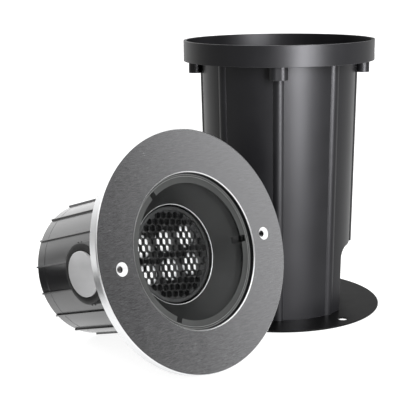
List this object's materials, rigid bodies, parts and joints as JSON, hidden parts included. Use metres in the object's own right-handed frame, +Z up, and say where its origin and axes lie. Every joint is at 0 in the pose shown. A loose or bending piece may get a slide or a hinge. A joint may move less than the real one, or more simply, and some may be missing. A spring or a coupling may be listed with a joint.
{
  "type": "in-ground well light",
  "caption": "In-ground well light set: tapered mounting sleeve on a base plate, and a sealed round luminaire with brushed trim, glass lens and honeycomb lamp lying beside it.",
  "frame": {"origin": "centre of the underside of the mounting sleeve's base plate", "axes": "+Z up along the standing sleeve; the luminaire lies in front of it, towards -Y and -X, its face turned towards +X, -Y and up"},
  "size_m": [0.3095, 0.357, 0.2575],
  "materials": {
    "sleeve_plastic": "satin moulded black plastic",
    "stainless_hardware": "turned stainless steel",
    "brass_inserts": "turned brass",
    "brushed_trim": "fine brushed stainless steel",
    "black_rubber": "moulded rubber",
    "pale_silicone": "translucent pale grey silicone",
    "clear_glass": "clear toughened glass",
    "shield_black": "satin dark grey",
    "can_plastic": "glossy moulded black",
    "cover_grey": "plain light grey",
    "gland_plastic": "moulded black nylon",
    "gimbal_metal": "plain sheet and cast metal",
    "lamp_metal": "anodised dark grey",
    "bezel_grey": "anodised grey",
    "louvre_grey": "matt grey",
    "optic_clear": "clear moulded optic",
    "tray_black": "matt black",
    "board_white": "white solder mask",
    "led_yellow": "phosphor yellow",
    "driver_white": "moulded white plastic",
    "terminal_cream": "moulded cream plastic"
  },
  "bodies": {
    "sleeve": {"mounting_sleeve": "sleeve_plastic", "base_plate": "sleeve_plastic", "base_plate_screws": "stainless_hardware", "threaded_inserts": "brass_inserts"},
    "luminaire": {"trim_ring": "brushed_trim", "trim_seal": "black_rubber", "trim_nuts": "stainless_hardware", "lens_gasket": "pale_silicone", "glass_lens": "clear_glass", "glare_shield": "shield_black", "canister_housing": "can_plastic", "side_cover": "cover_grey", "rear_cap": "can_plastic", "rear_cap_seal": "black_rubber", "rear_cap_screws": "stainless_hardware", "gland_body": "gland_plastic", "gland_nut": "gland_plastic", "gland_seal": "black_rubber", "gland_locknut": "gland_plastic", "pan_retainer": "stainless_hardware", "driver_tray": "gimbal_metal", "tray_screws": "stainless_hardware", "driver_case": "driver_white", "terminal_block": "terminal_cream"},
    "gimbal": {"pan_ring": "gimbal_metal", "tilt_pivots": "stainless_hardware"},
    "lamp": {"lamp_body": "lamp_metal", "lamp_bezel": "bezel_grey", "honeycomb_louvre": "louvre_grey", "lamp_optics": "optic_clear", "optic_tray": "tray_black", "led_board": "board_white", "led_chips": "led_yellow"}
  },
  "joints": [
    {"name": "luminaire_lift", "type": "slide", "parent": "sleeve", "child": "luminaire", "axis": [0, 0, 1], "range_m": [0, 0.3]},
    {"name": "gimbal_pan", "type": "hinge", "parent": "luminaire", "child": "gimbal", "pos_m": [-0.09688, -0.15373, 0.08642], "axis": [0.7085, -0.6447, 0.2869], "range_deg": [-175, 175]},
    {"name": "lamp_tilt", "type": "hinge", "parent": "gimbal", "child": "lamp", "pos_m": [-0.09688, -0.15373, 0.08642], "axis": [-0.2122, 0.1931, 0.958], "range_deg": [-15, 15]}
  ]
}
